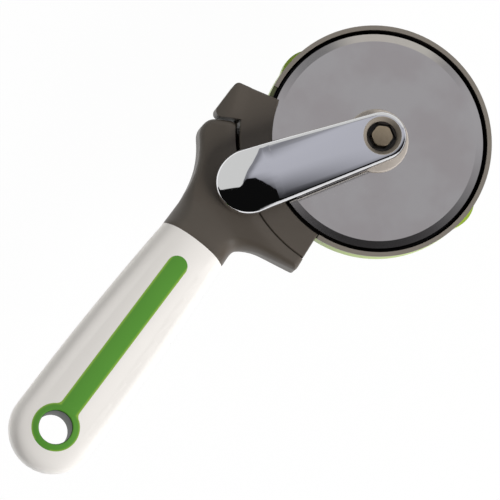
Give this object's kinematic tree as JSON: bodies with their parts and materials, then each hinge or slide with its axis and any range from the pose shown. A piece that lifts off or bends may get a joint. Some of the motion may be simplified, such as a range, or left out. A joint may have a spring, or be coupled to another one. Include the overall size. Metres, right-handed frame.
{
  "type": "pizza cutter",
  "caption": "Hand-held rolling pizza cutter with a free-turning steel disc on a one-sided arm, a thumb release and a blade guard that lifts off.",
  "frame": {"origin": "on the axis of the hang hole, halfway through the handle's thickness", "axes": "+X from the hang hole along the handle to the wheel, +Y to the side of the thumb tab, +Z out of the front, where the arm is"},
  "size_m": [0.2427, 0.1102, 0.0246],
  "materials": {
    "white_handle": "satin white moulded plastic",
    "green_grip": "soft green overmould",
    "green_guard": "yellow green moulded plastic",
    "taupe_plastic": "taupe grey moulded plastic",
    "rim_grey": "grey moulded plastic",
    "arm_chrome": "polished chrome plate",
    "blade_steel": "satin polished stainless steel",
    "hub_plastic": "beige moulded plastic",
    "zinc_steel": "zinc plated steel",
    "spring_steel": "drawn spring wire",
    "sleeve_brass": "turned",
    "nylon_ring": "nylon"
  },
  "bodies": {
    "handle": {"handle_shell": "white_handle", "grip_inlay": "green_grip", "neck_housing": "taupe_plastic", "neck_back_cover": "taupe_plastic", "cover_screws": "zinc_steel", "arm": "arm_chrome", "arm_screws": "zinc_steel", "axle_bolt": "zinc_steel", "front_washer": "zinc_steel", "axle_sleeve": "sleeve_brass", "back_washer": "zinc_steel", "lock_nut": "zinc_steel", "nut_ring": "nylon_ring", "return_spring": "spring_steel"},
    "wheel": {"blade": "blade_steel", "hub_front": "hub_plastic", "hub_back": "hub_plastic"},
    "release": {"release_saddle": "taupe_plastic"},
    "guard": {"guard_cup": "green_guard", "guard_rim": "rim_grey"}
  },
  "joints": [
    {"name": "wheel_spin", "type": "hinge", "parent": "handle", "child": "wheel", "pos_m": [0.1766, -0.0348, 0], "axis": [0, 0, 1], "continuous": true},
    {"name": "release_turn", "type": "hinge", "parent": "handle", "child": "release", "pos_m": [0.1766, -0.0348, 0], "axis": [0, 0, -1], "range_deg": [0, 5], "stiffness_Nm_per_rad": 0.6, "springref_deg": -5.73, "deforming": ["return_spring"]},
    {"name": "guard_lift", "type": "slide", "parent": "handle", "child": "guard", "axis": [0, 0, -1], "range_m": [0, 0.03]}
  ]
}
